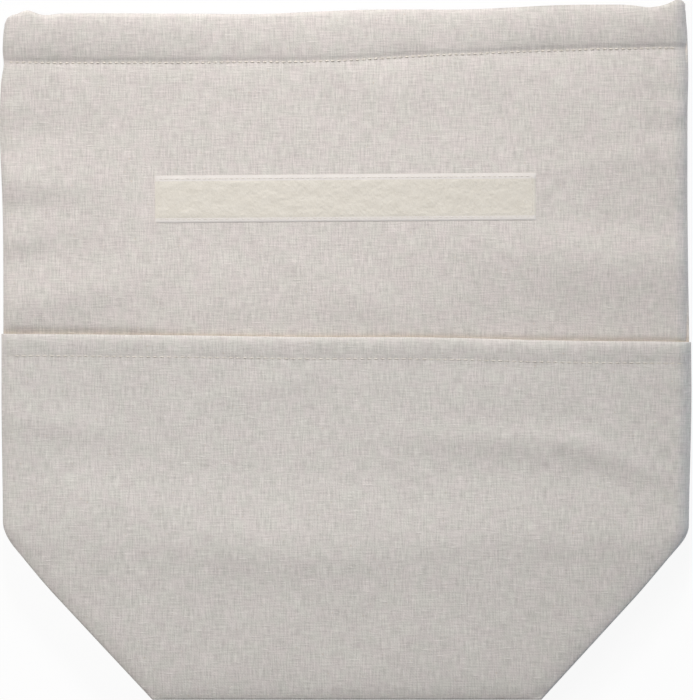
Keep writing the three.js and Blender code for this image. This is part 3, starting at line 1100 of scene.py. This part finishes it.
def thread_piece(name, path, stitch, level, chosen=None):
    """Bowed stitches along a flat path on a surface. They dip into the cloth at their ends."""
    pitch, gap, radius, rise, sink = stitch
    run = np.concatenate([[0], np.cumsum(np.linalg.norm(np.diff(path, axis=0), axis=1))])
    centres = np.arange(pitch / 2, run[-1] - pitch / 2, pitch)

    def at(distance):
        x, y = (np.interp(distance, run, path[:, axis]) for axis in (0, 1))
        return xyz(x, y, level(x, y))

    starts, ends = at(centres - (pitch - gap) / 2), at(centres + (pitch - gap) / 2)
    if chosen is not None:
        keep = chosen(*(starts + ends).T[:2] / 2)
        starts, ends = starts[keep], ends[keep]
    t = np.linspace(0, 1, THREAD_RINGS)
    turn = np.linspace(0, 2 * math.pi, THREAD_SIDES, endpoint=False)
    along = ends - starts
    up = np.array([0.0, 0.0, 1.0])
    beside = np.cross(up, along)
    beside /= np.linalg.norm(beside, axis=1, keepdims=True)
    middle = starts[:, None] + t[None, :, None] * along[:, None]
    middle[..., 2] += rise * np.sin(math.pi * t) - sink
    thin = radius * (THREAD_END + (1 - THREAD_END) * np.sin(math.pi * t))
    ring = np.cos(turn)[:, None] * beside[:, None, None, :] + np.sin(turn)[:, None] * up
    points = middle[:, :, None] + thin[:, None, None] * ring
    return new_piece(name, points, tube_faces(len(starts), THREAD_RINGS, THREAD_SIDES), THREAD, points)


def line_across(line, ends):
    x = np.linspace(*ends, PATH_POINTS)
    return np.stack([x, line(x)], -1)


def pocket_height(x, y):
    return pocket_skins(x, y, sine=1.0)[0]


hem_path = line_across(hem_line, HEM_RUN)
follow_upper(thread_piece("hem_stitches_front", hem_path, HEM_STITCH, front_height))
follow_upper(thread_piece(
    "hem_stitches_back", hem_path, BACK_HEM_STITCH, back_height,
    lambda x, y: (np.abs(x) > TAPE_EDGE_X) | (y < HOOK_LOW[1]) | (y > HOOK_HIGH[1])))

pocket_hem_path = line_across(lambda x: pocket_mouth(x) - POCKET_HEM_DEPTH, POCKET_HEM_RUN)
cut_x = POCKET_CUT * half_width(0.0, 1)
for label, chosen in (
    ("left", lambda x, y: x < -cut_x),
    ("middle", lambda x, y: np.abs(x) <= cut_x),
    ("right", lambda x, y: x > cut_x),
):
    follow_mouth(
        thread_piece(f"pocket_stitches_{label}", pocket_hem_path, POCKET_STITCH, pocket_height, chosen))

base_path = line_across(lambda x: 0 * x + BOTTOM + BASE_SEAM, BASE_RUN)
follow_fill(thread_piece("base_stitches", base_path, BASE_STITCH, pocket_height), True)

# Loop tape on the front and hook tape on the back of the rim
TAPE_TILT = math.radians(0.45)
TILT_COS, TILT_SIN = math.cos(TAPE_TILT), math.sin(TAPE_TILT)
TAPE_SHIFT = 0.2
TAPE_MIDDLE = (LOOP_LOW + LOOP_HIGH) / 2 - (TAPE_SHIFT, 0, 0)
TAPE_HALF_X, TAPE_HALF_Y, _ = (LOOP_HIGH - LOOP_LOW) / 2
TAPE_THICKNESS = 0.32
LEAST_TAPE = 0.05
PILE_HEIGHT = 0.07
PILE_RAMP = 0.9
FELT_NOISE = ((0.07, 1.2, 71),)
CLUMP_NOISE = ((0.06, 3.4, 73),)
CLUMP_LENGTH = 1.8
PILE_EDGE_NOISE = ((0.25, 2.4, 74),)
SEWN_GROOVE = ((-0.3, 0.45, -0.02),)
SEWN_RAMP = 0.5
UPPER_SELVEDGE, LOWER_SELVEDGE, END_SELVEDGE = 2.4, 2.1, 1.3
SOFT_BEVEL, SHARP_BEVEL = 2.2, 0.65
LEAST_BEVEL = 0.1
TAPE_STEP = 0.4
STITCH_INSET = 1.5
HOOK_BASE = 0.35
HOOK_HEIGHT = 0.4
HOOK_PITCH = 1.7
HOOK_COLUMNS, HOOK_ROWS = 160, 22
HOOK_END_GAP, HOOK_LAST_GAP = 2, 1.5
HOOK_HALF = 0.13
HOOK_SPINE = ((0, 0, 0.05), (0, 0, -0.6), (0.18, 0, -0.95), (0.42, 0, -0.75))
HOOK_CORNERS = ((1, -1, 0), (-1, -1, 0), (-1, 1, 0), (1, 1, 0))


def tape_place(a, b):
    """Point on the tape from the distances along it and across it."""
    return TAPE_MIDDLE[0] + TILT_COS * a - TILT_SIN * b, TAPE_MIDDLE[1] + TILT_SIN * a + TILT_COS * b


def loop_tape_thickness(a, b):
    """Woven edges, a low felted pile between them and a groove where they meet."""
    from_top, from_bottom = TAPE_HALF_Y - b, b + TAPE_HALF_Y
    from_end = TAPE_HALF_X - np.abs(a)
    edge = np.minimum(np.minimum(from_top, from_bottom), from_end)
    inside = np.minimum(from_top - UPPER_SELVEDGE, from_bottom - LOWER_SELVEDGE)
    inside = np.minimum(inside, from_end - END_SELVEDGE)
    felt = noises(a, b, FELT_NOISE) + noises(a / CLUMP_LENGTH, b, CLUMP_NOISE)
    pile_share = smooth_step((inside + noises(a, b, PILE_EDGE_NOISE)) / PILE_RAMP)
    sewn = bumps(inside, SEWN_GROOVE) * smooth_step(edge / SEWN_RAMP)
    bevel = np.minimum(np.minimum(from_bottom, from_end) / SHARP_BEVEL, from_top / SOFT_BEVEL)
    rounded = np.sin(math.pi / 2 * np.clip(bevel, LEAST_BEVEL, 1))
    return TAPE_THICKNESS * rounded + (PILE_HEIGHT + felt) * pile_share + sewn


def weave_selvedges(piece):
    polygons = piece.data.polygons
    middles = np.zeros(3 * len(polygons))
    polygons.foreach_get("center", middles)
    x, y, _ = middles.reshape(-1, 3).T / MM
    over = (y - TAPE_MIDDLE[1]) * TILT_COS - (x - TAPE_MIDDLE[0]) * TILT_SIN
    woven = (over > TAPE_HALF_Y - UPPER_SELVEDGE) | (over < LOWER_SELVEDGE - TAPE_HALF_Y)
    piece.data.materials.append(SELVEDGE)
    polygons.foreach_set("material_index", woven.astype(np.int32))


def border(half_x, half_y):
    """Corners of the stitching round a tape, just inside its edges."""
    a, b = half_x - STITCH_INSET, half_y - STITCH_INSET
    return np.array([(-a, -b), (a, -b), (a, b), (-a, b), (-a, -b)])


def loop_tape():
    a = np.linspace(-TAPE_HALF_X, TAPE_HALF_X, int(2 * TAPE_HALF_X / TAPE_STEP) + 1)
    b = np.linspace(-TAPE_HALF_Y, TAPE_HALF_Y, int(2 * TAPE_HALF_Y / TAPE_STEP) + 1)
    a, b = np.broadcast_arrays(a[None, :], b[:, None])
    x, y = tape_place(a, b)
    under = front_height(x, y)
    over = under + np.maximum(loop_tape_thickness(a, b), LEAST_TAPE)
    piece = whole_sheet("loop_tape", "loop_pile", xyz(x, y, over), xyz(x, y, under), LOOP, 8)
    weave_selvedges(piece)
    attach(piece, "bag_back")
    path = np.stack(tape_place(*border(TAPE_HALF_X, TAPE_HALF_Y).T), -1)
    stitches = thread_piece("loop_tape_stitches", path, LOOP_STITCH,
                            lambda x, y: front_height(x, y) + TAPE_THICKNESS)
    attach(stitches, "bag_back")


def hook_level(x, y):
    return np.maximum(back_height(x, y) - HOOK_BASE, HOOK_HEIGHT)


def hook_bristles(middle, half):
    """Short bristles that lean over at their tips, in rows that lean in turn."""
    columns = np.arange(-half[0] + HOOK_END_GAP, half[0] - HOOK_END_GAP, HOOK_PITCH)
    rows = np.arange(-half[1] + HOOK_END_GAP, half[1] - HOOK_LAST_GAP, HOOK_PITCH)
    column, row = np.meshgrid(columns, rows)
    x, y = middle[0] + column.ravel(), middle[1] + row.ravel()
    foot = xyz(x, y, hook_level(x, y))
    lean = np.where(np.arange(len(x)) // len(columns) % 2 == 0, 1.0, -1.0)
    spine = foot[:, None] + np.array(HOOK_SPINE) * xyz(lean, 1, HOOK_HEIGHT)[:, None]
    points = spine[:, :, None] + np.array(HOOK_CORNERS) * HOOK_HALF
    faces = tube_faces(len(foot), len(HOOK_SPINE), len(HOOK_CORNERS))
    return new_piece("hook_bristles", points, faces, HOOK, points)


def hook_tape():
    middle, half = (HOOK_LOW + HOOK_HIGH) / 2, (HOOK_HIGH - HOOK_LOW) / 2
    x = np.linspace(HOOK_LOW[0], HOOK_HIGH[0], HOOK_COLUMNS)
    y = np.linspace(HOOK_LOW[1], HOOK_HIGH[1], HOOK_ROWS)[:, None]
    over, under = xyz(x, y, hook_level(x, y)), xyz(x, y, back_height(x, y))
    piece = whole_sheet("hook_tape", "hook_pile", over, under, HOOK, 9, flipped=True)
    follow_upper(piece)
    follow_upper(hook_bristles(middle, half))
    path = border(*half[:2]) + middle[:2]
    follow_upper(thread_piece("hook_tape_stitches", path, HOOK_STITCH, hook_level))


loop_tape()
hook_tape()

# Camera
PIXELS_PER_MM = 2.38
PHOTO_WIDTH, PHOTO_HEIGHT = 693, 700
CENTRE_PIXEL = (346, 354)
CAMERA_HEIGHT = 2200.0
SENSOR_WIDTH = 36.0
CLIP_END = 20.0

scene.view_settings.view_transform = "Standard"
camera_data = bpy.data.cameras.new("camera")
camera = placed("camera", camera_data)
scene.camera = camera
camera_data.sensor_fit = "AUTO"
camera_data.sensor_width = SENSOR_WIDTH
camera_data.lens = SENSOR_WIDTH * (CAMERA_HEIGHT - FRONT) * PIXELS_PER_MM / PHOTO_HEIGHT
camera_data.clip_end = CLIP_END
camera_x = (PHOTO_WIDTH / 2 - CENTRE_PIXEL[0]) / PIXELS_PER_MM
camera_y = (CENTRE_PIXEL[1] - PHOTO_HEIGHT / 2) / PIXELS_PER_MM
camera.location = (camera_x * MM, camera_y * MM, CAMERA_HEIGHT * MM)

# Light and floor, in metres
WARM = (1.0, 0.985, 0.97)
COOL = (0.62, 0.80, 1.0)
SKY_COLOUR = (0.98, 0.985, 1.0)
SKY_LIGHT = 0.18
FLOOR_COLOUR = (0.9, 0.9, 0.9)
FLOOR_ROUGHNESS = 0.9
FLOOR_GLOW = 0.92
FLOOR_REACH = 3.0
FLOOR_LEVEL = -0.0003


def soft_lamp(name, place, size, power, colour, spread=180.0):
    lamp = bpy.data.lights.new(name, "AREA")
    lamp.spread = math.radians(spread)
    lamp.shape = "DISK"
    lamp.size = size
    lamp.energy = power
    lamp.color = colour
    holder = placed(name, lamp)
    holder.location = place
    holder.rotation_euler = (-holder.location).to_track_quat("-Z", "Y").to_euler()


def seen_directly(shader):
    """1 for what the camera, a reflection or glass shows, 0 for light on the object."""
    path = shader.node("LightPath", {})
    seen = shader.math("MAXIMUM", path["Is Camera Ray"], path["Is Glossy Ray"])
    return shader.math("MAXIMUM", seen, path["Is Transmission Ray"])


def white_sky():
    world = bpy.data.worlds.new("world")
    scene.world = world
    world.use_nodes = True
    shader = Shader(world.node_tree)
    strength = shader.math("MULTIPLY_ADD", seen_directly(shader), 1 - SKY_LIGHT, SKY_LIGHT)
    shader.feed(world.node_tree.nodes["Background"], {"Color": SKY_COLOUR, "Strength": strength})


def white_floor():
    mesh = bpy.data.meshes.new("floor")
    corners = np.array([(-1, -1, 0), (1, -1, 0), (1, 1, 0), (-1, 1, 0)]) * FLOOR_REACH
    mesh.from_pydata((corners + (0, 0, FLOOR_LEVEL)).tolist(), [], [(0, 1, 2, 3)])
    material, shader, bsdf = new_material("floor")
    shader.feed(bsdf, {"Base Color": FLOOR_COLOUR, "Roughness": FLOOR_ROUGHNESS})
    glow = shader.node("Emission", {"Color": (1, 1, 1)})[0]
    share = shader.math("MULTIPLY", seen_directly(shader), FLOOR_GLOW)
    surface = shader.node("MixShader", {0: share, 1: bsdf.outputs[0], 2: glow})[0]
    shader.feed(material.node_tree.nodes["Material Output"], {"Surface": surface})
    mesh.materials.append(material)
    placed("floor", mesh)


soft_lamp("key", (0.0, 1.25, 0.74), 0.32, 0.80, WARM, spread=38.0)
soft_lamp("over", (-0.60, 0.15, 1.0), 0.6, 6.0, WARM)
soft_lamp("cool", (1.3, -0.20, 0.09), 0.5, 4.7, COOL)
white_sky()
white_floor()
